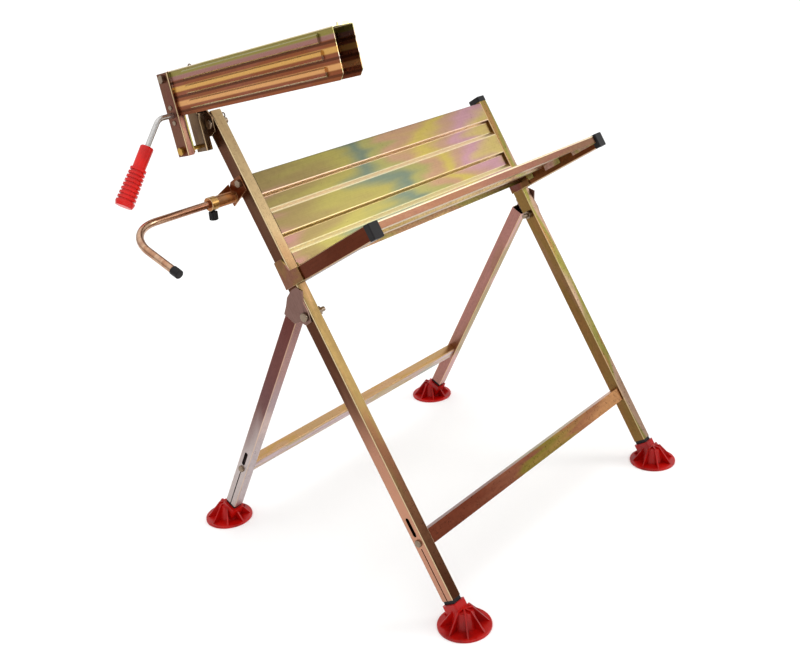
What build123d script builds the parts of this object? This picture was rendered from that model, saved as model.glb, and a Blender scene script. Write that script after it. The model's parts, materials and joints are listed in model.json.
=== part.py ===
from build123d import *
import os
from math import cos, radians, sin

# Folding sawhorse with a log trough, a chainsaw clamp with guard, and a log end stop.
# Millimetres. Everything is drawn about the floor point midway between the four feet, then moved
# so that the origin is the bottom centre of the whole object's box.
# +X runs along the log to the plain end, +Y to the rear feet, +Z up.
# "left" is the clamp end (-X), "right" the plain end (+X).

# --- driving dimensions -------------------------------------------------
leg_spacing = 750.0
foot_spread = 678.0
long_leg_lean = 60.0
rear_leg_lean = 61.5
bar_width = 25.0
bar_depth = 30.0
bar_wall = 1.6
bar_corner = 2.5
sheet = 1.2
plate = 3.0

left_leg_length = 1082.0
right_leg_length = 950.0
leg_start = 58.0
hinge_along = 660.0
rear_leg_gap = 12.0

crossbar_along = 181.0
crossbar_height = 30.0
crossbar_depth = 20.0
slot_length = 40.0
slot_width = 9.0
slot_along = 214.0
seam_width = 2.5

arm_along = 735.0
arm_reach = 229.0
cap_length = 13.0
trough_top = 947.0
trough_bottom = 752.0
front_tray_start = 17.5
front_tray_end = 252.0
rear_ribs = (802.0, 886.0)
front_ribs = (82.0, 166.0)
rib_depth = 7.0
rib_low_slope = 8.0
rib_high_slope = 4.0
rib_width = 26.0
tray_lip = 16.0

foot_radius = 53.0
foot_disc = 5.0
foot_rib_count = 8

swing_along = 1062.0
holder_tilt = 11.5
guard_length = 420.0
guard_height = 82.0
guard_outer_x = -66.0
guard_inner_x = -19.0
jaw_back = 28.6
jaw_up = 31.0
jaw_width = 32.0
jaw_length = 154.0
jaw_pin_reach = 66.5
guide_radius = 4.0
screw_radius = 5.0
running_gap = 0.06

crank_corner_x = -104.0
crank_lean = 37.5
crank_arm = 170.0
grip_length = 118.0
grip_rings = 9

stop_rod_radius = 7.0
stop_along = 925.5
stop_behind = 32.0
stop_corner_x = -269.0
stop_bend = 70.0
stop_reach = 149.0
stop_dip = 20.7
stop_cap_radius = 8.2

hinge_bolt_radius = 5.0
bolt_radius = 4.0

# --- smaller dimensions
swing_pin_radius = 6.0
stop_bolt_radius = 4.0
stop_bolt_along = stop_along + 13.5
gusset_gap = 0.5
tray_tab = 18.0
skirt_height = 32.0
rib_height = 41.0
foot_rib_thickness = 3.0
socket_half_width = 16.0
socket_half_depth = 18.0
socket_end = 50.0
outer_jaw_x = -72.0
inner_jaw_x = -30.0
swing_plate_x = -16.1
jaw_flange = 14.0
inner_jaw_back = (9.3, 40.7)
inner_notch_up = 24.0
inner_flange_top = 62.0
jaw_wall = 2.5
ear_notch = 35.0
rivet_reach = 14.0
clip_x = -4.0
clip_radius = 1.6
clip_length = 30.0
end_cap_skin = 0.5
clamp_plate_x = -56.5
nose_radius = 3.5
grip_top_radius = 12.5
grip_end_radius = 17.5
guard_top_up = 109.0
guard_rib_drops = (13.0, 39.0, 65.0)
guard_rib_front = -386.0
guard_rib_rear = -28.0
guard_rib_rise = 4.2
rib_half = 8.0
ear_x = (-69.1, -64.5)
ear_drop = 23.5
stop_collar_out = 61.0
thumb_radius = 4.0

# --- worked-out places ---------------------------------------------------
half_spacing = leg_spacing / 2
half_width = bar_width / 2
half_depth = bar_depth / 2
half_spread = foot_spread / 2
long_cos = cos(radians(long_leg_lean))
long_sin = sin(radians(long_leg_lean))
rear_cos = cos(radians(rear_leg_lean))
rear_sin = sin(radians(rear_leg_lean))

# Local axes of each frame: X as the object's, Y up the leg, Z towards the front.
long_frame = Plane(origin=(0, -half_spread, 0), x_dir=(1, 0, 0), z_dir=(0, -long_sin, long_cos))
rear_frame = Plane(origin=(0, half_spread, 0), x_dir=(1, 0, 0), z_dir=(0, -rear_sin, -rear_cos))

hinge_y = -half_spread + hinge_along * long_cos
hinge_z = hinge_along * long_sin
hinge_rear_along = (hinge_y - half_spread) * -rear_cos + hinge_z * rear_sin

swing_y = -half_spread + swing_along * long_cos
swing_z = swing_along * long_sin
tilt_cos = cos(radians(holder_tilt))
tilt_sin = sin(radians(holder_tilt))
# Local axes of the saw holder: Y backwards along the guard, Z up, origin on the swing pin.
holder_frame = Plane(origin=(-half_spacing, swing_y, swing_z), x_dir=(1, 0, 0), z_dir=(0, tilt_sin, tilt_cos))

stop_collar_x = -half_spacing - stop_collar_out
screw_centre = holder_frame.from_local_coords(Vector(0, jaw_back, jaw_up))
stop_centre = long_frame.from_local_coords(Vector(0, stop_along, -stop_behind))
thumb_centre = Vector(stop_collar_x - 8.5, stop_centre.Y, stop_centre.Z)

parts = {}


def block(x_range, y_range, z_range):
    size = [high - low for low, high in (x_range, y_range, z_range)]
    centre = [(high + low) / 2 for low, high in (x_range, y_range, z_range)]
    return Pos(*centre) * Box(*size)


def rod_x(radius, x_range, y, z):
    low, high = x_range
    return Pos((low + high) / 2, y, z) * Rot(0, 90, 0) * Cylinder(radius, high - low)


def hex_x(across_flats, x_range, y, z):
    low, high = min(x_range), max(x_range)
    prism = extrude(RegularPolygon(across_flats / 2, 6, major_radius=False), high - low)
    return Pos(low, y, z) * Rot(0, 90, 0) * prism


def plate_x(outline, x_range):
    low, high = min(x_range), max(x_range)
    face = make_face(Polyline(*[(0, y, z) for y, z in outline], close=True))
    return Pos(low, 0, 0) * extrude(face, high - low, dir=(1, 0, 0))


def folded_bar(x_centre, y_range, z_centre=0.0):
    outer = block(
        (x_centre - half_width, x_centre + half_width), y_range, (z_centre - half_depth, z_centre + half_depth)
    )
    outer = fillet(outer.edges().filter_by(Axis.Y), bar_corner)
    inner = block(
        (x_centre - half_width + bar_wall, x_centre + half_width - bar_wall),
        y_range,
        (z_centre - half_depth + bar_wall, z_centre + half_depth - bar_wall),
    )
    return outer - inner


def outer_slot_and_seam(x_centre, side, seam_start):
    face_x = x_centre + side * half_width
    slot = block(
        (face_x - bar_wall - 1, face_x + bar_wall + 1),
        (slot_along - slot_length / 2, slot_along + slot_length / 2),
        (-slot_width / 2, slot_width / 2),
    )
    slot = fillet(slot.edges().filter_by(Axis.X), slot_width / 2 - 0.1)
    seam = block(
        (face_x - bar_wall - 1, face_x + bar_wall + 1),
        (seam_start, crossbar_along - 12),
        (-seam_width / 2, seam_width / 2),
    )
    return slot + seam


def side_name(side):
    return "left" if side < 0 else "right"


# --- long frame: straight legs that run from the front feet up behind the log ----
def make_long_leg(side):
    length = left_leg_length if side < 0 else right_leg_length
    x = side * half_spacing
    leg = folded_bar(x, (leg_start, length))
    leg -= outer_slot_and_seam(x, side, leg_start)
    through = (x - bar_width, x + bar_width)
    leg -= rod_x(hinge_bolt_radius + running_gap, through, hinge_along, 0)
    leg -= rod_x(bolt_radius + running_gap, through, crossbar_along, 0)
    if side < 0:
        leg -= rod_x(swing_pin_radius + running_gap, through, swing_along, 0)
        leg -= rod_x(stop_bolt_radius + running_gap, (x - bar_width, x), stop_bolt_along, 0)
    return long_frame.location * leg


def make_foot_stub(frame, side):
    stub_half_width = half_width - bar_wall - 0.2
    stub_half_depth = half_depth - bar_wall - 0.2
    x = side * half_spacing
    stub = block(
        (x - stub_half_width, x + stub_half_width), (28, 105), (-stub_half_depth, stub_half_depth)
    )
    return frame.location * stub


def make_foot(frame, side, foot_y):
    x = side * half_spacing
    stub_half_width = half_width - bar_wall - 0.1
    stub_half_depth = half_depth - bar_wall - 0.1
    disc = Pos(x, foot_y, foot_disc / 2) * Cylinder(foot_radius, foot_disc)
    disc = fillet(disc.edges().group_by(Axis.Z)[-1], 2.0)
    skirt = Pos(x, foot_y, foot_disc + skirt_height / 2) * Cone(
        foot_radius * 0.5, socket_half_depth, skirt_height
    )
    socket = block(
        (x - socket_half_width, x + socket_half_width), (4, socket_end), (-socket_half_depth, socket_half_depth)
    )
    socket = fillet(socket.edges().filter_by(Axis.Y), 4.0)
    body = disc + skirt + frame.location * socket
    for index in range(foot_rib_count):
        angle = 360 / foot_rib_count * index
        rib_face = make_face(
            Polyline(
                (0, 0, foot_disc - 1),
                (foot_radius - 4, 0, foot_disc - 1),
                (socket_half_depth, 0, rib_height),
                (0, 0, rib_height),
                close=True,
            )
        )
        rib = extrude(rib_face, foot_rib_thickness / 2, dir=(0, 1, 0), both=True)
        body += Pos(x, foot_y, 0) * Rot(0, 0, angle) * rib
    pocket = frame.location * block(
        (x - stub_half_width, x + stub_half_width), (28, 160), (-stub_half_depth, stub_half_depth)
    )
    below_floor = block((x - 200, x + 200), (foot_y - 200, foot_y + 200), (-200, 0))
    return body - pocket - below_floor


def make_crossbar(frame):
    end = half_spacing - half_width
    low = crossbar_along - crossbar_height / 2
    high = crossbar_along + crossbar_height / 2
    outer = block((-end, end), (low, high), (-crossbar_depth / 2, crossbar_depth / 2))
    hollow = block(
        (-end + plate, end - plate),
        (low + sheet, high - sheet),
        (-crossbar_depth / 2 - 1, crossbar_depth / 2 - sheet),
    )
    bar = outer - hollow
    bar -= rod_x(bolt_radius + running_gap, (-half_spacing, half_spacing), crossbar_along, 0)
    return frame.location * bar


def make_side_bolts(frame, along):
    """One bolt and nut at each end of a crossbar, through the leg into the bar's end."""
    solids = []
    for side in (-1, 1):
        outer = side * (half_spacing + half_width)
        inner = side * (half_spacing - half_width - plate)
        shank = rod_x(bolt_radius, sorted((outer, inner - side * 9)), along, 0)
        head = rod_x(7.5, sorted((outer, outer + side * 5)), along, 0)
        head = fillet(head.edges().group_by(Axis.X)[0 if side < 0 else -1], 3.0)
        nut = hex_x(13, (inner, inner - side * 6.5), along, 0)
        solids.append(frame.location * (shank + head))
        solids.append(frame.location * (nut - rod_x(bolt_radius, sorted((inner, inner - side * 7)), along, 0)))
    return Compound(children=solids)


def recessed_outline(start, end, level, deep, ribs):
    """A flat run from start to end with trapezoid channels sunk to deep between rib edges."""
    points = [(start, level)]
    for centre in ribs:
        points += [
            (centre - rib_width / 2 - rib_low_slope, level),
            (centre - rib_width / 2, deep),
            (centre + rib_width / 2, deep),
            (centre + rib_width / 2 + rib_high_slope, level),
        ]
    points.append((end, level))
    return points


def sheet_from(points, half_length, thickness_side):
    """A bent sheet with the given outline in local Y and Z, running along X."""
    line = FilletPolyline(*[(y, z) for y, z in points], radius=2.5)
    face = make_face(offset(line, sheet, side=thickness_side))
    upright = Plane(origin=(-half_length, 0, 0), x_dir=(0, 1, 0), z_dir=(1, 0, 0))
    return upright.location * extrude(face, 2 * half_length)


def make_rear_tray():
    half_length = half_spacing - half_width
    level = half_depth - 0.5
    ribs = rear_ribs
    outline = (
        [(trough_bottom, level - 14)]
        + recessed_outline(trough_bottom, trough_top, level, level - rib_depth, ribs)
        + [(trough_top, level - 14)]
    )
    tray = sheet_from(outline, half_length, Side.RIGHT)
    flats = (
        (trough_bottom + sheet, ribs[0] - rib_width / 2 - rib_low_slope),
        (ribs[0] + rib_width / 2 + rib_high_slope, ribs[1] - rib_width / 2 - rib_low_slope),
        (ribs[1] + rib_width / 2 + rib_high_slope, trough_top - sheet),
    )
    for side in (-1, 1):
        for low, high in flats:
            tray += block(
                sorted((side * half_length, side * (half_length - sheet))),
                (low, high),
                (level - tray_tab, level - 0.4),
            )
    return notched_round_brackets(long_frame.location * tray)


def notched_round_brackets(tray):
    for side in (-1, 1):
        tray -= make_arm_bracket(side, -side)
    return tray


def make_front_arm(side):
    x = side * half_spacing
    centre = half_depth + 0.5 + arm_reach / 2
    arm = folded_bar(x, (-arm_reach / 2, arm_reach / 2))
    arm = Pos(0, arm_along, centre) * Rot(90, 0, 0) * arm
    return long_frame.location * arm


def make_front_tray():
    half_length = half_spacing - half_width
    level = arm_along + half_depth - 0.5
    start, end, ribs = front_tray_start, front_tray_end, front_ribs
    outline = (
        [(start, level - 14)]
        + recessed_outline(start, end, level, level - rib_depth, ribs)
        + [(end, level - tray_lip)]
    )
    line = FilletPolyline(*[(-front, along) for front, along in outline], radius=2.5)
    face = make_face(offset(line, sheet, side=Side.LEFT))
    upright = Plane(origin=(-half_length, 0, 0), x_dir=(0, 0, -1), z_dir=(1, 0, 0))
    tray = upright.location * extrude(face, 2 * half_length)
    flats = (
        (start + sheet, ribs[0] - rib_width / 2 - rib_low_slope),
        (ribs[0] + rib_width / 2 + rib_high_slope, ribs[1] - rib_width / 2 - rib_low_slope),
        (ribs[1] + rib_width / 2 + rib_high_slope, end - sheet),
    )
    for side in (-1, 1):
        for low, high in flats:
            tray += block(
                sorted((side * half_length, side * (half_length - sheet))),
                (level - tray_tab, level - 0.4),
                (low, high),
            )
        tray -= block(
            sorted((side * (half_length - end_cap_skin - 0.2), side * (half_length + 1))),
            (level - 40, level + 2),
            (half_depth + 0.2 + arm_reach, end + 1),
        )
    return notched_round_brackets(long_frame.location * tray)


def make_end_cap(x, inside, outside):
    """A moulded cap that closes the end of a bar; local Z runs out of the bar."""
    plug = block(
        (x - half_width + bar_wall, x + half_width - bar_wall),
        (-half_depth + bar_wall, half_depth - bar_wall),
        (inside, outside),
    )
    shell = block(
        (x - half_width - end_cap_skin, x + half_width + end_cap_skin),
        (-half_depth - end_cap_skin, half_depth + end_cap_skin),
        (0, outside),
    )
    shell = fillet(shell.edges().filter_by(Axis.Z) + shell.edges().group_by(Axis.Z)[-1], 2.2)
    return shell + plug


def make_arm_bracket(side, inward):
    """A flat tee plate that ties the front arm's root to the leg, on one face of both."""
    face = side * half_spacing + inward * half_width
    outline = [
        (arm_along - 14, -16),
        (arm_along + 42, -14),
        (arm_along + 42, 10),
        (arm_along + 15, half_depth + 2),
        (arm_along + 14, 43),
        (arm_along - 14, 43),
    ]
    tee = plate_x(outline, (face, face + inward * plate))
    return long_frame.location * tee


# --- hinge between the frames ------------------------------------------------
def make_hinge_bolt(side):
    x = side * half_spacing
    outer = x + side * (half_width + gusset_gap + plate + 0.4)
    inner = x - side * (half_width + 22)
    shank = rod_x(hinge_bolt_radius, sorted((outer, inner)), hinge_along, 0)
    head = rod_x(9, sorted((outer, outer + side * 5.5)), hinge_along, 0)
    head = fillet(head.edges().group_by(Axis.X)[0 if side < 0 else -1], 2.5)
    return long_frame.location * (shank + head)


def make_hinge_nut(side):
    x = side * half_spacing
    near = x - side * half_width
    nut = hex_x(17, (near, near - side * 10), hinge_along, 0)
    nut -= rod_x(hinge_bolt_radius, sorted((near + side, near - side * 11)), hinge_along, 0)
    return long_frame.location * nut


def make_gusset(side):
    """Plate welded outside the rear leg's top. It turns on the hinge bolt and its tab stops the leg."""
    face = side * (half_spacing + half_width + gusset_gap)
    outline = [
        (hinge_along - 15, -9),
        (hinge_along - 14, 9),
        (hinge_along + 8, 14),
        (hinge_along + 26, 13),
        (hinge_along + 45, 25),
        (hinge_along + 57, 14),
        (hinge_along + 57, -2),
        (hinge_along + 49, -23),
        (hinge_along + 36, -37),
        (hinge_along + 24, -53),
        (hinge_along - 2, -37),
        (hinge_along - 4, -20),
    ]
    cheek = plate_x(outline, (face, face + side * plate))
    tab = block(
        sorted((face + side * plate, side * (half_spacing - half_width + 4))),
        (hinge_along + 20, hinge_along + 46),
        (-half_depth - 0.4 - plate, -half_depth - 0.4),
    )
    cheek = cheek + tab
    cheek -= rod_x(
        hinge_bolt_radius + running_gap, sorted((face - side, face + side * (plate + 1))), hinge_along, 0
    )
    top = hinge_rear_along - rear_leg_gap
    joggle = block(sorted((face, face - side * gusset_gap)), (top - 16, top - 1), (-12, 12))
    return long_frame.location * cheek + rear_frame.location * joggle


def make_rear_leg(side):
    x = side * half_spacing
    leg = folded_bar(x, (leg_start, hinge_rear_along - rear_leg_gap))
    leg -= outer_slot_and_seam(x, side, leg_start)
    leg -= rod_x(bolt_radius + running_gap, (x - bar_width, x + bar_width), crossbar_along, 0)
    return rear_frame.location * leg


# --- saw holder ---------------------------------------------------------------
def channel_jaw(web_x, back_range, flange_depth):
    """A channel bar with its web at web_x and its flanges towards +X."""
    low, high = back_range
    bottom, top = jaw_up - jaw_length / 2, jaw_up + jaw_length / 2
    tip_x = web_x + flange_depth
    outer = block((web_x, tip_x), (low, high), (bottom, top))
    outer = fillet(outer.edges().filter_by(Axis.Z).group_by(Axis.X)[0], 2.0)
    hollow = block((web_x + jaw_wall, tip_x + 1), (low + jaw_wall, high - jaw_wall), (bottom - 1, top + 1))
    return outer - hollow


def make_outer_jaw():
    low, high = jaw_back - jaw_width / 2, jaw_back + jaw_width / 2
    jaw = channel_jaw(outer_jaw_x, (low, high), jaw_flange)
    top = jaw_up + jaw_length / 2
    jaw -= block(
        (outer_jaw_x + jaw_wall, outer_jaw_x + jaw_flange + 1),
        (low - 1, low + jaw_wall + 1),
        (top - ear_notch, top + 1),
    )
    through = (outer_jaw_x - 1, outer_jaw_x + 20)
    jaw -= rod_x(screw_radius + 0.5, through, jaw_back, jaw_up)
    for pin_side in (-1, 1):
        jaw -= rod_x(guide_radius, through, jaw_back, jaw_up + pin_side * jaw_pin_reach)
        jaw -= rod_x(2.5, through, jaw_back, jaw_up + pin_side * rivet_reach)
    return holder_frame.location * jaw


def make_inner_jaw():
    """Channel whose web faces the saw's bar. Its flanges stop short so that the guard can pass."""
    low, high = inner_jaw_back
    depth = swing_plate_x - inner_jaw_x
    top = jaw_up + jaw_length / 2 + 1
    jaw = channel_jaw(inner_jaw_x, inner_jaw_back, depth)
    jaw -= block(
        (inner_jaw_x - 1, swing_plate_x + 1), (low - 1, jaw_back - jaw_width / 2), (inner_notch_up, top)
    )
    jaw -= block((inner_jaw_x + jaw_wall, swing_plate_x + 1), (low - 1, high + 1), (inner_flange_top, top))
    for pin_side in (-1, 1):
        jaw -= rod_x(
            guide_radius, (inner_jaw_x - 1, swing_plate_x), jaw_back, jaw_up + pin_side * jaw_pin_reach
        )
    return holder_frame.location * jaw


def make_nut_plate():
    low = outer_jaw_x + jaw_wall
    slab = block((low, low + 6), (jaw_back - 10, jaw_back + 10), (jaw_up - 22, jaw_up + 22))
    slab -= rod_x(screw_radius + running_gap, (low - 1, low + 7), jaw_back, jaw_up)
    for pin_side in (-1, 1):
        slab -= rod_x(2.5, (low - 1, low + 7), jaw_back, jaw_up + pin_side * rivet_reach)
    return holder_frame.location * slab


def make_nut_rivets():
    solids = []
    for pin_side in (-1, 1):
        up = jaw_up + pin_side * rivet_reach
        rivet = rod_x(2.5, (outer_jaw_x, outer_jaw_x + jaw_wall + 6), jaw_back, up)
        head = rod_x(4.5, (outer_jaw_x - 2, outer_jaw_x), jaw_back, up)
        head = fillet(head.edges().group_by(Axis.X)[0], 1.4)
        solids.append(holder_frame.location * (rivet + head))
    return Compound(children=solids)


def make_swing_plate():
    low, high = inner_jaw_back
    outline = [
        (low - 20, -14),
        (low - 4, -22),
        (high, -22),
        (high, inner_flange_top),
        (low + 8, inner_flange_top),
        (low - 8, 30),
        (low - 20, 12),
    ]
    slab = plate_x(outline, (swing_plate_x, swing_plate_x + plate))
    slab -= rod_x(swing_pin_radius + running_gap, (swing_plate_x - 1, swing_plate_x + 4), 0, 0)
    return holder_frame.location * slab


def make_guide_pin(up, end_x):
    pin = rod_x(guide_radius, (outer_jaw_x - 1, end_x), jaw_back, up)
    head = hex_x(13, (outer_jaw_x - 6, outer_jaw_x), jaw_back, up)
    return pin + head


def make_upper_guide_pin():
    pin = make_guide_pin(jaw_up + jaw_pin_reach, clip_x + 7)
    pin -= Pos(clip_x, jaw_back, jaw_up + jaw_pin_reach) * Cylinder(clip_radius, 20)
    return holder_frame.location * pin


def make_lower_guide_pin():
    return holder_frame.location * make_guide_pin(jaw_up - jaw_pin_reach, inner_jaw_x + jaw_wall + 6)


def split_pin(length):
    """A cotter whose eye sits above Z = 0 and whose two legs splay out below it."""
    shank = Cylinder(clip_radius, length / 2)
    eye = Pos(0, 0, length / 4 + 3.6) * Rot(0, 90, 0) * Torus(4.2, clip_radius * 0.8)
    pin = shank + eye
    for way in (-1, 1):
        leg = Pos(0, way * 3.0, -length / 4 - 5.0) * Rot(way * 28, 0, 0)
        pin += leg * Cylinder(clip_radius * 0.75, 14)
    return pin


def make_guard_clip():
    clip = Pos(clip_x, jaw_back, jaw_up + jaw_pin_reach + 2) * split_pin(clip_length)
    return holder_frame.location * clip


def make_clamp_plate():
    low = clamp_plate_x
    slab = block(
        (low, low + plate),
        (jaw_back - jaw_width / 2 + 2, jaw_back + jaw_width / 2 - 2),
        (jaw_up - jaw_length / 2 + 2, jaw_up + jaw_length / 2 - 2),
    )
    slab = fillet(slab.edges().filter_by(Axis.X), 3.0)
    slab -= rod_x(nose_radius + running_gap, (low - 1, low + plate + 1), jaw_back, jaw_up)
    for pin_side in (-1, 1):
        up = jaw_up + pin_side * jaw_pin_reach
        slab -= rod_x(guide_radius + running_gap, (low - 1, low + plate + 1), jaw_back, up)
    return holder_frame.location * slab


def make_crank_rod():
    """Threaded along the screw axis, with a reduced nose, then bent down and outwards."""
    corner = screw_centre + Vector(crank_corner_x, 0, 0)
    lean = radians(crank_lean)
    tip = corner + Vector(-sin(lean), 0, -cos(lean)) * crank_arm
    start = screw_centre + Vector(clamp_plate_x - 0.3, 0, 0)
    path = FilletPolyline(start, corner, tip, radius=20)
    section = Plane(origin=start, z_dir=(-1, 0, 0)) * Circle(screw_radius)
    rod = sweep(section, path)
    nose = Pos(screw_centre.X + clamp_plate_x + 1.9, screw_centre.Y, screw_centre.Z)
    nose = nose * Rot(0, 90, 0) * Cylinder(nose_radius, 4.4 + plate)
    return rod + nose


def make_nose_ring():
    """Ring pressed on the screw's nose; it pulls the clamp plate back when the screw is undone."""
    x = clamp_plate_x + plate + 0.3
    ring = rod_x(6.5, (x, x + 1.6), jaw_back, jaw_up)
    ring -= rod_x(nose_radius, (x - 1, x + 3), jaw_back, jaw_up)
    return holder_frame.location * ring


def make_crank_grip():
    lean = radians(crank_lean)
    down = Vector(-sin(lean), 0, -cos(lean))
    corner = screw_centre + Vector(crank_corner_x, 0, 0)
    top = corner + down * (crank_arm - grip_length + 4)
    profile = [(screw_radius, 0), (grip_top_radius - 1.5, 0), (grip_top_radius, 2)]
    ring_start = grip_length * 0.34
    pitch = (grip_length - ring_start - 6) / grip_rings
    for index in range(grip_rings):
        base = ring_start + index * pitch
        swell = (grip_end_radius - grip_top_radius) * base / grip_length
        core = grip_top_radius + swell - 2.0
        crest = core + 3
        profile += [(core, base), (core, base + pitch * 0.4), (crest, base + pitch * 0.45), (crest, base + pitch)]
    profile += [(grip_end_radius, grip_length - 5), (grip_end_radius - 2, grip_length), (0, grip_length)]
    profile += [(0, grip_length - 3.9), (screw_radius, grip_length - 3.9)]
    points = [(radius, 0, along) for radius, along in profile]
    grip = revolve(make_face(Polyline(*points, close=True)), Axis.Z)
    return Plane(origin=top, z_dir=down).location * grip


def make_guard():
    """Inverted trough over the saw bar, ribbed on both cheeks, with ears round the upper guide pin."""
    low_x, high_x = guard_outer_x, guard_inner_x
    top = guard_top_up
    bottom = top - guard_height
    rear = jaw_back - jaw_width / 2 - 0.8
    front = -guard_length
    shell = block((low_x, high_x), (front, rear), (bottom, top))
    shell = fillet(shell.edges().filter_by(Axis.Y).group_by(Axis.Z)[-1], 3.0)
    hollow = block((low_x + sheet, high_x - sheet), (front - 1, rear + 1), (bottom - 1, top - sheet))
    hollow = fillet(hollow.edges().filter_by(Axis.Y).group_by(Axis.Z)[-1], 1.5)
    shell -= hollow
    cut_corner = [
        (front - 1, bottom - 1),
        (front + 8, bottom - 1),
        (front + 8, bottom),
        (front, bottom + 9),
        (front - 1, bottom + 9),
    ]
    shell -= plate_x(cut_corner, (low_x - 1, high_x + 1))
    pin_up = jaw_up + jaw_pin_reach
    for cheek_x, outward in ((low_x, -1), (high_x, 1)):
        for drop in guard_rib_drops:
            middle = top - drop
            rib = plate_x(
                [
                    (guard_rib_front, middle - rib_half),
                    (guard_rib_rear, middle - rib_half),
                    (guard_rib_rear, middle + rib_half),
                    (guard_rib_front, middle + rib_half),
                ],
                (cheek_x, cheek_x + outward * guard_rib_rise),
            )
            crest = rib.faces().sort_by(Axis.X)[0 if outward < 0 else -1]
            rib = chamfer(crest.edges().filter_by(Axis.Y), guard_rib_rise - 0.6, 2.4)
            inside = block(
                sorted((cheek_x - outward * (sheet + 0.1), cheek_x + outward * (guard_rib_rise - sheet))),
                (guard_rib_front + sheet, guard_rib_rear - sheet),
                (middle - rib_half + 2.4, middle + rib_half - 2.4),
            )
            shell = shell + rib - inside
        ear = rod_x(11, sorted((cheek_x, cheek_x - outward * sheet)), jaw_back, pin_up)
        ear += block(
            sorted((cheek_x, cheek_x - outward * sheet)), (rear - 1, jaw_back), (pin_up - 11, pin_up + 11)
        )
        shell += ear
    shell -= rod_x(guide_radius + running_gap, (low_x - 1, high_x + 1), jaw_back, pin_up)
    shell += block(ear_x, (rear - 1, rear + 1.7), (pin_up - ear_drop, top))
    lip = block((low_x + 12, high_x - 8), (front, front + sheet), (top - 1, top + 4))
    return holder_frame.location * (shell + lip)


# --- swing pin on the leg -------------------------------------------------------
def make_swing_pin():
    x = -half_spacing
    head_x = swing_plate_x - 0.4
    pin = rod_x(swing_pin_radius, (x + head_x, x + half_width + 12), swing_along, 0)
    head = rod_x(8.5, (x + head_x - 4, x + head_x), swing_along, 0)
    head = fillet(head.edges().group_by(Axis.X)[0], 2.0)
    pin = long_frame.location * (pin + head)
    return pin - swing_clip_place() * Cylinder(clip_radius, 30)


def swing_clip_place():
    x = -half_spacing + half_width + 7
    return Pos(x, swing_y, swing_z)


def make_swing_washer():
    x = -half_spacing + half_width
    washer = rod_x(11, (x, x + 2), swing_along, 0) - rod_x(
        swing_pin_radius, (x - 1, x + 3), swing_along, 0
    )
    return long_frame.location * washer


def make_swing_clip():
    return swing_clip_place() * split_pin(clip_length)


def make_swing_bush():
    """Spacer tube inside the hollow leg, so that the pin can't crush it."""
    x = -half_spacing
    reach = half_width - bar_wall
    bush = rod_x(9, (x - reach, x + reach), swing_along, 0)
    bush -= rod_x(swing_pin_radius + running_gap, (x - half_width, x + half_width), swing_along, 0)
    return long_frame.location * bush


# --- log end stop -----------------------------------------------------------------
def make_stop_bracket():
    face = -half_spacing - half_width
    outline = [
        (stop_along - 16, -stop_behind - 12),
        (stop_along + 8, -stop_behind - 14),
        (stop_along + 26, -stop_behind + 10),
        (stop_along + 26, 10),
        (stop_along - 4, 10),
    ]
    bracket = plate_x(outline, (face - plate, face))
    bracket += rod_x(11.5, (stop_collar_x, face), stop_along, -stop_behind)
    fin = make_face(
        Polyline(
            (face - plate + 0.5, stop_along + 6, -stop_behind),
            (stop_collar_x + 5, stop_along + 9, -stop_behind),
            (face - plate + 0.5, stop_along + 25, -stop_behind),
            close=True,
        )
    )
    bracket += extrude(fin, 1.5, dir=(0, 0, 1), both=True)
    bracket -= rod_x(
        stop_rod_radius + running_gap, (stop_collar_x - 1, face + 1), stop_along, -stop_behind
    )
    bracket -= rod_x(stop_bolt_radius, (face - 5, face + 1), stop_bolt_along, 0)
    return long_frame.location * bracket


def make_stop_collar():
    collar = rod_x(13, (stop_collar_x - 17, stop_collar_x), stop_along, -stop_behind)
    collar = fillet(collar.edges(), 1.2)
    collar -= rod_x(
        stop_rod_radius + running_gap, (stop_collar_x - 18, stop_collar_x + 1), stop_along, -stop_behind
    )
    collar = long_frame.location * collar
    return collar - Pos(thumb_centre.X, thumb_centre.Y, thumb_centre.Z - 10) * Cylinder(
        thumb_radius + running_gap, 18
    )


def make_stop_bolt():
    face = -half_spacing - half_width
    shank = rod_x(stop_bolt_radius, (face - plate, face + 12), stop_bolt_along, 0)
    head = hex_x(13, (face - plate - 5.5, face - plate), stop_bolt_along, 0)
    return long_frame.location * (shank + head)


def make_thumb_screw():
    shank = Pos(0, 0, -stop_rod_radius - 6) * Cylinder(thumb_radius, 11)
    knob = Pos(0, 0, -23) * Cylinder(8.5, 16)
    knob = fillet(knob.edges(), 1.5)
    for index in range(6):
        knob -= Rot(0, 0, 60 * index) * Pos(10.2, 0, -23) * Cylinder(3.2, 20)
    return Pos(*thumb_centre) * (shank + knob)


def make_stop_rod():
    """Round rod that runs out along the log, then turns in front of the log's end."""
    dip = radians(stop_dip)
    start = Vector(-half_spacing + 5, stop_centre.Y, stop_centre.Z)
    corner = Vector(-half_spacing + stop_corner_x, stop_centre.Y, stop_centre.Z)
    tip = corner + Vector(0, -cos(dip), -sin(dip)) * stop_reach
    path = FilletPolyline(start, corner, tip, radius=stop_bend)
    section = Plane(origin=start, z_dir=(-1, 0, 0)) * Circle(stop_rod_radius)
    return sweep(section, path)


def make_stop_rod_cap():
    dip = radians(stop_dip)
    forward = Vector(0, -cos(dip), -sin(dip))
    corner = Vector(-half_spacing + stop_corner_x, stop_centre.Y, stop_centre.Z)
    seat = Plane(origin=corner + forward * (stop_reach - 14), z_dir=forward)
    cap = Pos(0, 0, 8.5) * Cylinder(stop_cap_radius, 17)
    cap = fillet(cap.edges().group_by(Axis.Z)[-1], 2.0)
    cap -= Pos(0, 0, 7) * Cylinder(stop_rod_radius, 14)
    return seat.location * cap


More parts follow.
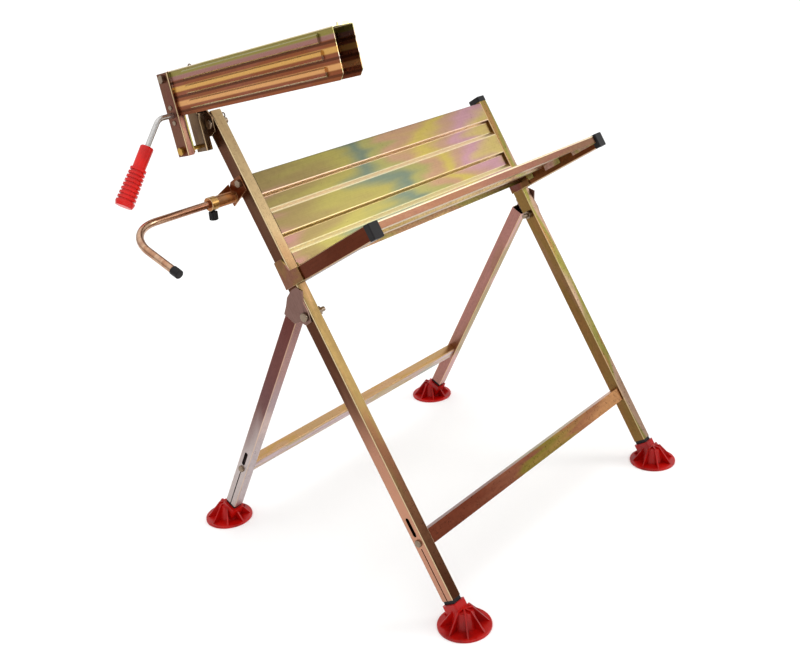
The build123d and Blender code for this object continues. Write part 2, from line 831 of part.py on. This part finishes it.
for side in (-1, 1):
    name = side_name(side)
    parts["long_leg_" + name] = make_long_leg(side)
    parts["rear_leg_" + name] = make_rear_leg(side)
    parts["front_arm_" + name] = make_front_arm(side)
    parts["front_foot_" + name] = make_foot(long_frame, side, -half_spread)
    parts["rear_foot_" + name] = make_foot(rear_frame, side, half_spread)
    parts["front_foot_stub_" + name] = make_foot_stub(long_frame, side)
    parts["rear_foot_stub_" + name] = make_foot_stub(rear_frame, side)
    parts["arm_bracket_outer_" + name] = make_arm_bracket(side, side)
    parts["arm_bracket_inner_" + name] = make_arm_bracket(side, -side)
    parts["hinge_gusset_" + name] = make_gusset(side)
    parts["hinge_bolt_" + name] = make_hinge_bolt(side)
    parts["hinge_nut_" + name] = make_hinge_nut(side)
    arm_cap = make_end_cap(side * half_spacing, -12, cap_length)
    arm_end = Pos(0, arm_along, half_depth + 0.5 + arm_reach)
    parts["front_arm_cap_" + name] = long_frame.location * (arm_end * arm_cap)

leg_cap = Pos(0, right_leg_length, 0) * Rot(-90, 0, 0) * make_end_cap(half_spacing, -12, cap_length)
parts["long_leg_cap_right"] = long_frame.location * leg_cap
parts["front_crossbar"] = make_crossbar(long_frame)
parts["rear_crossbar"] = make_crossbar(rear_frame)
parts["front_crossbar_bolts"] = make_side_bolts(long_frame, crossbar_along)
parts["rear_crossbar_bolts"] = make_side_bolts(rear_frame, crossbar_along)
parts["rear_tray"] = make_rear_tray()
parts["front_tray"] = make_front_tray()
parts["outer_jaw"] = make_outer_jaw()
parts["inner_jaw"] = make_inner_jaw()
parts["nut_plate"] = make_nut_plate()
parts["nut_plate_rivets"] = make_nut_rivets()
parts["swing_plate"] = make_swing_plate()
parts["upper_guide_pin"] = make_upper_guide_pin()
parts["lower_guide_pin"] = make_lower_guide_pin()
parts["guard_split_pin"] = make_guard_clip()
parts["clamp_plate"] = make_clamp_plate()
parts["crank_rod"] = make_crank_rod()
parts["screw_nose_ring"] = make_nose_ring()
parts["crank_grip"] = make_crank_grip()
parts["bar_guard"] = make_guard()
parts["swing_pin"] = make_swing_pin()
parts["swing_washer"] = make_swing_washer()
parts["swing_split_pin"] = make_swing_clip()
parts["swing_bush"] = make_swing_bush()
parts["stop_bracket"] = make_stop_bracket()
parts["stop_collar"] = make_stop_collar()
parts["stop_bracket_bolt"] = make_stop_bolt()
parts["thumb_screw"] = make_thumb_screw()
parts["stop_rod"] = make_stop_rod()
parts["stop_rod_cap"] = make_stop_rod_cap()

lowest_x = -half_spacing + stop_corner_x - stop_cap_radius
highest_x = half_spacing + foot_radius
to_base_centre = Pos(-(lowest_x + highest_x) / 2, 0, 0)

os.makedirs("parts", exist_ok=True)
for node, shape in parts.items():
    export_step(to_base_centre * shape, f"parts/{node}.step")
print(len(parts), "nodes written")
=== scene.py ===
import json
import math
import bpy
from mathutils import Matrix, Vector


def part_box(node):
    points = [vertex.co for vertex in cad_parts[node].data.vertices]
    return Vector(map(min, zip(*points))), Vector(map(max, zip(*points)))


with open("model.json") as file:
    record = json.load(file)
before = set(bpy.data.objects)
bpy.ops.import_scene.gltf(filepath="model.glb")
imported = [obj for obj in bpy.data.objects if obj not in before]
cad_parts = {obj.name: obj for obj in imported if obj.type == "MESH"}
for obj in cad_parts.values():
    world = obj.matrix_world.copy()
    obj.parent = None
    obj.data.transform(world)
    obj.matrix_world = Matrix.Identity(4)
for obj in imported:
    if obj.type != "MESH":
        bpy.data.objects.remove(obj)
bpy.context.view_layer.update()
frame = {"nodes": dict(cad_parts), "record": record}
nodes = frame["nodes"]
print("frame loaded with", len(nodes), "nodes")


def hexToLinear(code):
    values = [int(code[i:i + 2], 16) / 255 for i in (1, 3, 5)]
    return [v / 12.92 if v <= 0.04045 else ((v + 0.055) / 1.055) ** 2.4 for v in values] + [1.0]


def addNode(tree, kind, settings=None, links=None):
    # settings: names are sockets, properties or a ramp's stops; links: socket -> output it comes from
    node = tree.nodes.new(kind)
    for key, value in (settings or {}).items():
        if key == "stops":
            node.color_ramp.interpolation = "EASE"
            elements = node.color_ramp.elements
            while len(elements) < len(value):
                elements.new(0.5)
            for element, (position, colour) in zip(elements, value):
                element.position = position
                element.color = hexToLinear(colour) if isinstance(colour, str) else [colour] * 3 + [1.0]
        elif isinstance(key, int) or key in node.inputs:
            node.inputs[key].default_value = value
        else:
            setattr(node, key, value)
    for key, output in (links or {}).items():
        tree.links.new(output, node.inputs[key])
    return node


def newMaterial(name):
    material = bpy.data.materials.new(name)
    material.use_nodes = True
    tree = material.node_tree
    tree.nodes.clear()
    output = addNode(tree, "ShaderNodeOutputMaterial")
    return material, tree, output


# Yellow chromated zinc on formed sheet steel: a gold film with rose, green and lilac clouds drawn
# out along the rolling direction; painted brown shade on the side faces, painted pale highlights on folds
zincBase = {
    "stops": [(0.30, "#7A4A30"), (0.40, "#A07A48"), (0.47, "#8E8A4E"), (0.54, "#B99A5C"),
              (0.62, "#A4746A"), (0.72, "#A8918C")],
    "turn": 60.0,            # lean of the piece's own axes about X, in degrees
    "long": 1,               # which of its axes is the long one
    "cloudMm": (260.0, 60.0),  # along the long axis and across it
    "swirl": 0.3,
    "grainMm": (50.0, 1.6),  # rolling lines, drawn coarser than the real 0.3 mm so that they show
    "speckMm": 50.0 / 7,     # seven dull spots in 50 mm, also drawn coarser than the real ones
    "speckle": 0.35,         # how much the lines and spots darken the film
    "fade": None,            # (direction, low metres, high metres, share) of a drift along the piece
    "sideShadeColour": "#56261A",  # painted shade on the faces that look along X
    "sideShadeShare": 0.85,
    "sideLow": None,         # (colour, low metres, high metres) of the painted side shade nearer the floor
    "wander": 0.25,          # metres by which the clouds move that colour's upper edge
    "edgeHighlightColour": "#E2C49A",  # painted highlight on the rounded folds
    "edgeHighlightShare": 0.7,
    "bands": [],             # (direction, centre metres, half width mm, colour, share) along folds: painted highlights and painted shade lines, and a few stripes of film tone
    "metallic": 1.0,
    "roughness": (0.2, 0.4),
    "bump": 0.1,
}


def spread(look, key):
    # a pattern's size along each of the piece's axes, in metres
    along, across = look[key]
    return [(along if axis == look["long"] else across) / 1000.0 for axis in range(3)]


def yellowZinc(name, changes=None):
    look = dict(zincBase, **(changes or {}))
    material, tree, output = newMaterial(name)
    place = addNode(tree, "ShaderNodeTexCoord")
    turn = (math.radians(look["turn"]), 0, 0)
    cloudPlace = addNode(tree, "ShaderNodeMapping",
                         {"vector_type": "TEXTURE", "Rotation": turn, "Scale": spread(look, "cloudMm")},
                         {"Vector": place.outputs["Object"]})
    clouds = addNode(tree, "ShaderNodeTexNoise",
                     {"Scale": 1.0, "Detail": 3.0, "Roughness": 0.45, "Distortion": look["swirl"]},
                     {"Vector": cloudPlace.outputs["Vector"]})
    factor = clouds.outputs["Fac"]
    if look["fade"]:
        direction, low, high, share = look["fade"]
        drift = addNode(tree, "ShaderNodeVectorMath", {"operation": "DOT_PRODUCT", 1: direction},
                        {0: place.outputs["Object"]})
        drift = addNode(tree, "ShaderNodeMapRange", {"From Min": low, "From Max": high},
                        {"Value": drift.outputs["Value"]})
        drift = addNode(tree, "ShaderNodeMixRGB", {"Fac": share},
                        {"Color1": factor, "Color2": drift.outputs["Result"]})
        factor = drift.outputs["Color"]
    film = addNode(tree, "ShaderNodeValToRGB", {"stops": look["stops"]}, {"Fac": factor})
    grainPlace = addNode(tree, "ShaderNodeMapping",
                         {"vector_type": "TEXTURE", "Rotation": turn, "Scale": spread(look, "grainMm")},
                         {"Vector": place.outputs["Object"]})
    grain = addNode(tree, "ShaderNodeTexNoise", {"Scale": 1.0, "Detail": 3.0},
                    {"Vector": grainPlace.outputs["Vector"]})
    fine = addNode(tree, "ShaderNodeTexNoise",
                   {"Scale": 1000.0 / look["speckMm"], "Detail": 4.0, "Roughness": 0.6},
                   {"Vector": place.outputs["Object"]})
    mottle = addNode(tree, "ShaderNodeMixRGB", {"Fac": 0.5},
                     {"Color1": grain.outputs["Fac"], "Color2": fine.outputs["Fac"]})
    mottle = addNode(tree, "ShaderNodeValToRGB", {"stops": [(0.38, 0.55), (0.60, 1.0)]},
                     {"Fac": mottle.outputs["Color"]})
    toned = addNode(tree, "ShaderNodeMixRGB", {"blend_type": "MULTIPLY", "Fac": look["speckle"]},
                    {"Color1": film.outputs["Color"], "Color2": mottle.outputs["Color"]})
    # how squarely a face looks along X: near 1 on the side faces, between on the rounded folds
    facing = addNode(tree, "ShaderNodeSeparateXYZ", links={"Vector": place.outputs["Normal"]})
    squared = addNode(tree, "ShaderNodeMath", {"operation": "POWER", 1: 2.0}, {0: facing.outputs["X"]})
    # faces that look along X get painted shade: a darker colour standing in for the shade on the side faces
    sideShadeMask = addNode(tree, "ShaderNodeValToRGB", {"stops": [(0.88, 0.0), (0.97, look["sideShadeShare"])]},
                       {"Fac": squared.outputs["Value"]})
    sideShadeMask.color_ramp.interpolation = "LINEAR"
    # the rounded folds get a painted highlight: a pale line standing in for the light that they catch
    edgeHighlightMask = addNode(tree, "ShaderNodeValToRGB",
                       {"stops": [(0.04, 0.0), (0.25, look["edgeHighlightShare"]), (0.75, look["edgeHighlightShare"]),
                                  (0.92, 0.0)]},
                       {"Fac": squared.outputs["Value"]})
    # the painted side shade, speckled like the film
    paintedSideShade = addNode(tree, "ShaderNodeMixRGB", {"blend_type": "MULTIPLY", "Fac": look["speckle"],
                                                  "Color1": hexToLinear(look["sideShadeColour"])},
                       {"Color2": mottle.outputs["Color"]})
    if look["sideLow"]:
        lowColour, low, high = look["sideLow"]
        height = addNode(tree, "ShaderNodeSeparateXYZ", links={"Vector": place.outputs["Object"]})
        wander = addNode(tree, "ShaderNodeMath", {"operation": "MULTIPLY_ADD", 1: look["wander"]},
                         {0: clouds.outputs["Fac"], 2: height.outputs["Z"]})
        climb = addNode(tree, "ShaderNodeMapRange",
                        {"interpolation_type": "SMOOTHSTEP", "From Min": low + look["wander"] / 2,
                         "From Max": high + look["wander"] / 2},
                        {"Value": wander.outputs["Value"]})
        paintedSideShade = addNode(tree, "ShaderNodeMixRGB", {"Color1": hexToLinear(lowColour)},
                           {"Fac": climb.outputs["Result"], "Color2": paintedSideShade.outputs["Color"]})
    toneWithSideShade = addNode(tree, "ShaderNodeMixRGB",
                       links={"Fac": sideShadeMask.outputs["Color"], "Color1": toned.outputs["Color"],
                              "Color2": paintedSideShade.outputs["Color"]})
    highlightedTone = addNode(tree, "ShaderNodeMixRGB", {"Color2": hexToLinear(look["edgeHighlightColour"])},
                       {"Fac": edgeHighlightMask.outputs["Color"], "Color1": toneWithSideShade.outputs["Color"]})
    # bands along the folds: painted highlights and painted shade lines, and a few stripes of film tone
    for direction, centre, halfMm, bandColour, share in look["bands"]:
        across = addNode(tree, "ShaderNodeVectorMath", {"operation": "DOT_PRODUCT", 1: direction},
                         {0: place.outputs["Object"]})
        offset = addNode(tree, "ShaderNodeMath", {"operation": "SUBTRACT", 1: centre},
                         {0: across.outputs["Value"]})
        distance = addNode(tree, "ShaderNodeMath", {"operation": "ABSOLUTE"}, {0: offset.outputs["Value"]})
        band = addNode(tree, "ShaderNodeMapRange",
                       {"interpolation_type": "SMOOTHSTEP", "From Min": halfMm / 2000.0,
                        "From Max": halfMm / 1000.0, "To Min": share, "To Max": 0.0},
                       {"Value": distance.outputs["Value"]})
        highlightedTone = addNode(tree, "ShaderNodeMixRGB", {"Color2": hexToLinear(bandColour)},
                           {"Fac": band.outputs["Result"], "Color1": highlightedTone.outputs["Color"]})
    rough = addNode(tree, "ShaderNodeMapRange",
                    {"To Min": look["roughness"][0], "To Max": look["roughness"][1]},
                    {"Value": fine.outputs["Fac"]})
    bump = addNode(tree, "ShaderNodeBump", {"Strength": look["bump"], "Distance": 0.0005},
                   {"Height": grain.outputs["Fac"]})
    shader = addNode(tree, "ShaderNodeBsdfPrincipled", {"Metallic": look["metallic"]},
                     {"Base Color": highlightedTone.outputs["Color"], "Roughness": rough.outputs["Result"],
                      "Normal": bump.outputs["Normal"]})
    tree.links.new(shader.outputs["BSDF"], output.inputs["Surface"])
    return material


# Polypropylene coloured in the mass and injection moulded: one even strong colour, hardly blotched,
# with a soft low sheen
plasticBase = {
    "colour": "#1A1718",
    "dark": "#0A090A",
    "blotchMm": 500.0 / 11,  # eleven duller patches in half a metre
    "grainMm": 0.8,          # the mould's spark-eroded grain, drawn coarser than the real 0.1 mm
    "bump": 0.1,
    "roughness": (0.42, 0.6),
    "sheen": 0.25,
}


def moulded(name, changes=None):
    look = dict(plasticBase, **(changes or {}))
    material, tree, output = newMaterial(name)
    place = addNode(tree, "ShaderNodeTexCoord")
    grain = addNode(tree, "ShaderNodeTexNoise", {"Scale": 1000.0 / look["grainMm"], "Detail": 2.0},
                    {"Vector": place.outputs["Object"]})
    blotch = addNode(tree, "ShaderNodeTexNoise", {"Scale": 1000.0 / look["blotchMm"], "Detail": 4.0},
                     {"Vector": place.outputs["Object"]})
    tone = addNode(tree, "ShaderNodeValToRGB", {"stops": [(0.3, look["dark"]), (0.65, look["colour"])]},
                   {"Fac": blotch.outputs["Fac"]})
    rough = addNode(tree, "ShaderNodeMapRange",
                    {"To Min": look["roughness"][0], "To Max": look["roughness"][1]},
                    {"Value": blotch.outputs["Fac"]})
    bump = addNode(tree, "ShaderNodeBump", {"Strength": look["bump"], "Distance": 0.0003},
                   {"Height": grain.outputs["Fac"]})
    shader = addNode(tree, "ShaderNodeBsdfPrincipled",
                     {"Metallic": 0.0, "IOR": 1.49, "Specular IOR Level": look["sheen"]},
                     {"Base Color": tone.outputs["Color"], "Roughness": rough.outputs["Result"],
                      "Normal": bump.outputs["Normal"]})
    tree.links.new(shader.outputs["BSDF"], output.inputs["Surface"])
    return material


# Drawn or turned steel, zinc plated and clear passivated: plain grey metal with small sharp glints
steelBase = {
    "colour": "#8C7A68",
    "dull": "#77716A",
    "speckMm": 50.0 / 21,  # twenty-one dull spots in 50 mm
    "roughness": (0.22, 0.4),
}


def brightSteel(name, changes=None):
    look = dict(steelBase, **(changes or {}))
    material, tree, output = newMaterial(name)
    place = addNode(tree, "ShaderNodeTexCoord")
    speck = addNode(tree, "ShaderNodeTexNoise", {"Scale": 1000.0 / look["speckMm"], "Detail": 5.0},
                    {"Vector": place.outputs["Object"]})
    tone = addNode(tree, "ShaderNodeValToRGB", {"stops": [(0.2, look["dull"]), (0.5, look["colour"])]},
                   {"Fac": speck.outputs["Fac"]})
    rough = addNode(tree, "ShaderNodeMapRange",
                    {"To Min": look["roughness"][0], "To Max": look["roughness"][1]},
                    {"Value": speck.outputs["Fac"]})
    shader = addNode(tree, "ShaderNodeBsdfPrincipled", {"Metallic": 1.0},
                     {"Base Color": tone.outputs["Color"], "Roughness": rough.outputs["Result"]})
    tree.links.new(shader.outputs["BSDF"], output.inputs["Surface"])
    return material


# directions up the long legs, out along the front arms, up the rear legs and up the guard's sides
longUp = (0.0, 0.5, 0.866)
armOut = (0.0, -longUp[2], longUp[1])
rearUp = (0.0, -0.477, 0.879)
guardUp = (0.0, 0.2, 0.98)
footRadius = 0.053  # metres
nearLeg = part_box("front_foot_left")[0][0] + footRadius
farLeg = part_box("front_foot_right")[0][0] + footRadius
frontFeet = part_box("front_foot_left")[0][1] + footRadius
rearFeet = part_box("rear_foot_left")[0][1] + footRadius


def alongLeg(mm):
    # place on the long legs' axis, measured from the floor, as a distance along longUp
    return mm / 1000.0 + frontFeet * longUp[1]


def outOfLeg(mm):
    # distance in front of the long legs' axis, along the front arms
    return mm / 1000.0 + frontFeet * armOut[1]


def alongRear(mm):
    # place on the rear legs' axis, measured from the floor, as a distance along rearUp
    return mm / 1000.0 + rearFeet * rearUp[1]


# the front tray's outer fold looks halfway between up the leg and out along the arm
halfway = 0.7071
foldOut = tuple((up + out) * halfway for up, out in zip(longUp, armOut))
trayEnd = outOfLeg(252.0)
trayFold = (alongLeg(749.5) + trayEnd) * halfway
trayDrift = (1.0, 0.0, 0.25)  # mostly along the rear tray, and a little up it
trayShift = 0.19              # what the tray's height above the floor adds to that, in metres
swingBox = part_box("swing_pin")
swing = [(swingBox[0][axis] + swingBox[1][axis]) / 2 for axis in range(3)]


def upGuard(mm):
    # height above the swing pin's axis, along guardUp
    return mm / 1000.0 + swing[1] * guardUp[1] + swing[2] * guardUp[2]


# what each zinc plated piece changes; the film's tone differs from piece to piece
zincLooks = {
    "rear_tray": {
        "stops": [(0.20, "#96666A"), (0.28, "#7A6A44"), (0.35, "#857C44"), (0.41, "#5E6858"),
                  (0.46, "#85804E"), (0.51, "#98785E"), (0.56, "#A4924C"), (0.61, "#A08068"),
                  (0.66, "#A88086"), (0.72, "#B09C60"), (0.80, "#A87C6A")],
        "long": 0, "cloudMm": (420.0, 85.0), "grainMm": (90.0, 2.0), "swirl": 0.12,
        "fade": (trayDrift, nearLeg + trayShift, farLeg + trayShift, 0.42), "sideShadeShare": 0.0,
        # painted highlights on the ribs' lower walls, and paler paint standing in for light on their upper
        # walls
        "bands": [(longUp, alongLeg(785.0), 6.5, "#FFF2BC", 0.8),
                  (longUp, alongLeg(869.0), 6.5, "#FFEEC4", 0.8),
                  (longUp, alongLeg(817.5), 4.5, "#E0CA9C", 0.8),
                  (longUp, alongLeg(901.5), 4.5, "#E0C0A8", 0.8)],
        "roughness": (0.24, 0.36), "speckle": 0.2},
    "front_tray": {
        "stops": [(0.25, "#94705A"), (0.38, "#B89A60"), (0.46, "#C8AC78"), (0.53, "#B08A6A"),
                  (0.6, "#A8A060"), (0.72, "#C49C90")],
        "long": 0, "cloudMm": (240.0, 50.0), "grainMm": (6.0, 2.4), "sideShadeShare": 0.0,
        "fade": ((1.0, 0.0, 0.0), nearLeg, farLeg, 0.3),
        # a darker brown band at the tray's outer end, and a painted highlight line along its outer fold
        "bands": [(armOut, trayEnd, 6.0, "#6A4036", 0.85), (foldOut, trayFold, 3.0, "#F4E2C0", 0.9)],
        "roughness": (0.25, 0.45), "speckle": 0.8},
    "long_leg_left": {
        "stops": [(0.26, "#54301F"), (0.36, "#6E4A34"), (0.45, "#75603A"), (0.54, "#6A5634"),
                  (0.64, "#917250"), (0.76, "#A8906A")],
        "fade": (longUp, 0.0, 0.85, 0.45), "sideShadeColour": "#481C12", "sideLow": ("#C48E74", 0.24, 0.48),
        "edgeHighlightColour": "#F4DCAE", "edgeHighlightShare": 0.9},
    "long_leg_right": {
        "stops": [(0.3, "#7A5430"), (0.42, "#9A7444"), (0.5, "#88803E"), (0.6, "#B0907A"),
                  (0.72, "#8E6E50")],
        "sideShadeColour": "#7C5A34"},
    "rear_leg_left": {
        "stops": [(0.2, "#B8A8A8"), (0.35, "#C8AEA8"), (0.5, "#A88E90"), (0.65, "#A87E78"),
                  (0.8, "#8A5E58")],
        "turn": 118.5, "fade": (rearUp, 0.0, 0.5, 0.7), "sideShadeColour": "#56241E",
        "sideLow": ("#B4A8A4", 0.16, 0.30), "edgeHighlightShare": 0.4},
    "rear_leg_right": {
        "stops": [(0.25, "#9A8058"), (0.4, "#B08A7A"), (0.52, "#C0908A"), (0.62, "#9A8250"),
                  (0.75, "#C09C90")],
        "turn": 118.5, "sideShadeColour": "#9A6A60"},
    "front_arm_left": {
        "stops": [(0.3, "#5E3626"), (0.45, "#7C4A38"), (0.6, "#8B5A40"), (0.72, "#6C453F")],
        "turn": -30.0, "sideShadeColour": "#542412"},
    "front_arm_right": {
        "stops": [(0.3, "#5E3626"), (0.45, "#7C4A38"), (0.6, "#8B6A40"), (0.72, "#6C453F")],
        "turn": -30.0, "sideShadeColour": "#5E3016"},
    "rear_crossbar": {
        "stops": [(0.3, "#B09488"), (0.40, "#C8B0B4"), (0.47, "#B8A070"), (0.54, "#C8ACA4"),
                  (0.62, "#A8ACA0"), (0.74, "#A87858")],
        "long": 0, "turn": 118.5, "cloudMm": (260.0, 30.0), "grainMm": (60.0, 1.6),
        "bands": [(rearUp, alongRear(196.0), 7.0, "#B08850", 0.8)]},
    "front_crossbar": {
        "stops": [(0.28, "#6E3826"), (0.42, "#84503A"), (0.50, "#80702E"), (0.58, "#9A7A40"),
                  (0.66, "#A06A48"), (0.76, "#C48D5D")],
        "long": 0, "cloudMm": (260.0, 30.0), "grainMm": (60.0, 1.6),
        "fade": ((1.0, 0.0, 0.0), nearLeg, farLeg, 0.6)},
    "bar_guard": {
        "stops": [(0.3, "#B89C7C"), (0.42, "#C8C08A"), (0.52, "#DDC9BC"), (0.6, "#A8AC74"),
                  (0.7, "#D0A890")],
        "turn": -11.5, "cloudMm": (200.0, 30.0), "sideShadeColour": "#85401F", "sideShadeShare": 0.95,
        # a green and a lilac stripe of film tone near the top, then painted highlights and dark painted shade
        # lines along the ribs
        "bands": [(guardUp, upGuard(102.0), 7.0, "#8A8444", 0.85),
                  (guardUp, upGuard(94.0), 5.0, "#A07A78", 0.6),
                  (guardUp, upGuard(86.5), 3.0, "#4A2410", 0.8),
                  (guardUp, upGuard(74.0), 6.0, "#D8A85C", 0.8),
                  (guardUp, upGuard(60.5), 3.0, "#4A2410", 0.8),
                  (guardUp, upGuard(48.0), 6.0, "#DCA468", 0.8),
                  (guardUp, upGuard(34.5), 3.0, "#4A2410", 0.7)],
        "edgeHighlightColour": "#F0DCA4", "edgeHighlightShare": 0.6, "speckle": 0.3, "roughness": (0.22, 0.36),
        "metallic": 0.85},
    "outer_jaw": {
        "stops": [(0.35, "#7A4E40"), (0.5, "#936657"), (0.65, "#A07C60")],
        "turn": 78.5, "cloudMm": (90.0, 30.0), "sideShadeColour": "#5E3226", "sideShadeShare": 0.8,
        "edgeHighlightColour": "#F0D8A8"},
    "inner_jaw": {
        "stops": [(0.35, "#5A4438"), (0.5, "#8A7050"), (0.65, "#A08C78")],
        "turn": 78.5, "cloudMm": (90.0, 30.0), "sideShadeColour": "#4A3428", "sideShadeShare": 0.6},
    "swing_plate": {
        "stops": [(0.35, "#5A4438"), (0.5, "#7A6048"), (0.65, "#A08C78")],
        "turn": 78.5, "cloudMm": (90.0, 30.0), "sideShadeColour": "#4A2C20", "sideShadeShare": 0.8},
    "stop_rod": {
        "stops": [(0.3, "#8A5C46"), (0.45, "#B08468"), (0.55, "#C4A084"), (0.7, "#A0705A")],
        "long": 0, "turn": 0.0, "cloudMm": (140.0, 30.0), "sideShadeShare": 0.0, "edgeHighlightShare": 0.0,
        "roughness": (0.16, 0.28)},
    "stop_collar": {
        "stops": [(0.35, "#9A6A38"), (0.5, "#B08850"), (0.65, "#C09A68")],
        "cloudMm": (30.0, 30.0), "sideShadeColour": "#A66C45"},
    "stop_bracket": {
        "stops": [(0.35, "#8A4E30"), (0.5, "#A86C3C"), (0.65, "#9A6C48")],
        "cloudMm": (40.0, 30.0), "sideShadeColour": "#6A3C28"},
    "hinge_gusset_left": {
        "stops": [(0.35, "#7A5C54"), (0.5, "#846358"), (0.65, "#947C72")],
        "cloudMm": (50.0, 40.0), "sideShadeColour": "#7A5C54", "sideShadeShare": 0.9, "roughness": (0.28, 0.45)},
    "arm_bracket_outer_left": {"cloudMm": (60.0, 40.0), "sideShadeColour": "#744B34"},
    "lower_guide_pin": {"stops": [(0.35, "#A07A30"), (0.6, "#D0A850")], "sideShadeColour": "#B89048",
                        "cloudMm": (30.0, 30.0)},
}
zincLooks["hinge_gusset_right"] = zincLooks["hinge_gusset_left"]
zincLooks["arm_bracket_outer_right"] = zincLooks["arm_bracket_outer_left"]

steelBright = brightSteel("zincPlatedFastener")
crankSteel = brightSteel("brightZincCrankRod", {"colour": "#C4C2C0"})
redPlastic = moulded("redMouldedFoot",
                     {"colour": "#B40803", "dark": "#860301", "roughness": (0.22, 0.4), "sheen": 0.32})
gripPlastic = moulded("redMouldedGrip",
                      {"colour": "#DC140B", "dark": "#B80804", "roughness": (0.22, 0.4), "sheen": 0.35})
blackPlastic = moulded("blackMouldedPlastic")
plainZinc = yellowZinc("yellowZincSmallParts", {"cloudMm": (50.0, 40.0)})

slotLooks = {"zinc_steel": plainZinc, "bright_steel": steelBright, "red_plastic": redPlastic,
             "black_plastic": blackPlastic}
ownLooks = {"crank_rod": crankSteel, "crank_grip": gripPlastic}
slotOf = {row["node"]: row["material_slot"] for row in frame["record"]["subparts"]}
for name, thing in nodes.items():
    if name in zincLooks:
        look = yellowZinc("yellowZinc_" + name, zincLooks[name])
    else:
        look = ownLooks.get(name, slotLooks[slotOf[name]])
    thing.data.materials.clear()
    thing.data.materials.append(look)
print("materials on")

# sheared and sawn steel edges are broken, so that they catch a line of light
edgeBreak = {
    "pieces": ["front_crossbar", "rear_crossbar", "hinge_gusset_left", "hinge_gusset_right", "outer_jaw",
               "inner_jaw", "swing_plate", "arm_bracket_outer_left", "arm_bracket_outer_right",
               "arm_bracket_inner_left", "arm_bracket_inner_right", "stop_bracket"],
    "widthMm": 0.7,
    "segments": 2,
    "sharpDegrees": 35.0,
    "weldMm": 0.02,  # gap that still counts as one corner
}
for name in edgeBreak["pieces"]:
    weld = nodes[name].modifiers.new("joinedFaces", "WELD")
    weld.merge_threshold = edgeBreak["weldMm"] / 1000.0
    broken = nodes[name].modifiers.new("brokenEdge", "BEVEL")
    broken.width = edgeBreak["widthMm"] / 1000.0
    broken.segments = edgeBreak["segments"]
    broken.limit_method = "ANGLE"
    broken.angle_limit = math.radians(edgeBreak["sharpDegrees"])
    broken.use_clamp_overlap = True
print("edges broken")

# camera: metres from the left front foot and above the floor, then degrees
cameraPlace = {"leftOfLeg": 1.2548, "frontOfFeet": 1.0159, "height": 1.2788, "heading": 48.14, "pitch": 22.5,
               "roll": -4.35, "lensMm": 46.73, "sensorMm": 36.0, "reach": 200.0}
stand = Vector((nearLeg - cameraPlace["leftOfLeg"], frontFeet - cameraPlace["frontOfFeet"],
                cameraPlace["height"]))
heading, pitch, roll = (math.radians(cameraPlace[k]) for k in ("heading", "pitch", "roll"))
forward = Vector((math.sin(heading) * math.cos(pitch), math.cos(heading) * math.cos(pitch), -math.sin(pitch)))
level = Vector((math.cos(heading), -math.sin(heading), 0.0))
upright = level.cross(forward)
right = level * math.cos(roll) + upright * math.sin(roll)
top = upright * math.cos(roll) - level * math.sin(roll)
lens = bpy.data.cameras.new("studioCamera")
lens.lens = cameraPlace["lensMm"]
lens.sensor_width = cameraPlace["sensorMm"]
lens.clip_end = cameraPlace["reach"]
camera = bpy.data.objects.new("studioCamera", lens)
camera.matrix_world = Matrix.Translation(stand) @ Matrix((right, top, -forward)).transposed().to_4x4()
bpy.context.scene.collection.objects.link(camera)
bpy.context.scene.camera = camera

# matt white floor, wide enough to fill the view
floorPlace = {"half": 40.0, "colour": "#FFFFFF", "roughness": 0.95}
half = floorPlace["half"]
floorMesh = bpy.data.meshes.new("studioFloor")
floorMesh.from_pydata([(-half, -half, 0), (half, -half, 0), (half, half, 0), (-half, half, 0)], [],
                      [(0, 1, 2, 3)])
floor = bpy.data.objects.new("studioFloor", floorMesh)
bpy.context.scene.collection.objects.link(floor)
floorLook, tree, output = newMaterial("paleFloor")
shader = addNode(tree, "ShaderNodeBsdfPrincipled",
                 {"Base Color": hexToLinear(floorPlace["colour"]), "Roughness": floorPlace["roughness"]})
tree.links.new(shader.outputs["BSDF"], output.inputs["Surface"])
floorMesh.materials.append(floorLook)

# soft studio dome: bright overhead, dimmer towards the horizon and below it
domeLook = {"colour": "#FFFFFF", "horizon": 0.45, "overhead": 1.35, "fullAt": 0.8}
world = bpy.data.worlds.new("studioWorld")
bpy.context.scene.world = world
world.use_nodes = True
dome = world.node_tree
around = addNode(dome, "ShaderNodeTexCoord")
direction = addNode(dome, "ShaderNodeSeparateXYZ", links={"Vector": around.outputs["Generated"]})
climb = addNode(dome, "ShaderNodeMapRange",
                {"From Min": 0.0, "From Max": domeLook["fullAt"], "To Min": domeLook["horizon"],
                 "To Max": domeLook["overhead"]},
                {"Value": direction.outputs["Z"]})
dome.links.new(climb.outputs["Result"], dome.nodes["Background"].inputs["Strength"])
dome.nodes["Background"].inputs["Color"].default_value = hexToLinear(domeLook["colour"])
bpy.context.scene.view_settings.view_transform = "Standard"

# one soft lamp from the front right, for glints on the folds
keyLook = {"place": (2.6, -2.6, 2.0), "aim": (0, 0, 0.7), "size": 1.2, "watts": 28}
lamp = bpy.data.lights.new("keyLight", "AREA")
lamp.size = keyLook["size"]
lamp.energy = keyLook["watts"]
key = bpy.data.objects.new("keyLight", lamp)
key.location = keyLook["place"]
key.rotation_euler = (Vector(keyLook["aim"]) - Vector(keyLook["place"])).to_track_quat("-Z", "Y").to_euler()
bpy.context.scene.collection.objects.link(key)
print("camera and lights set")
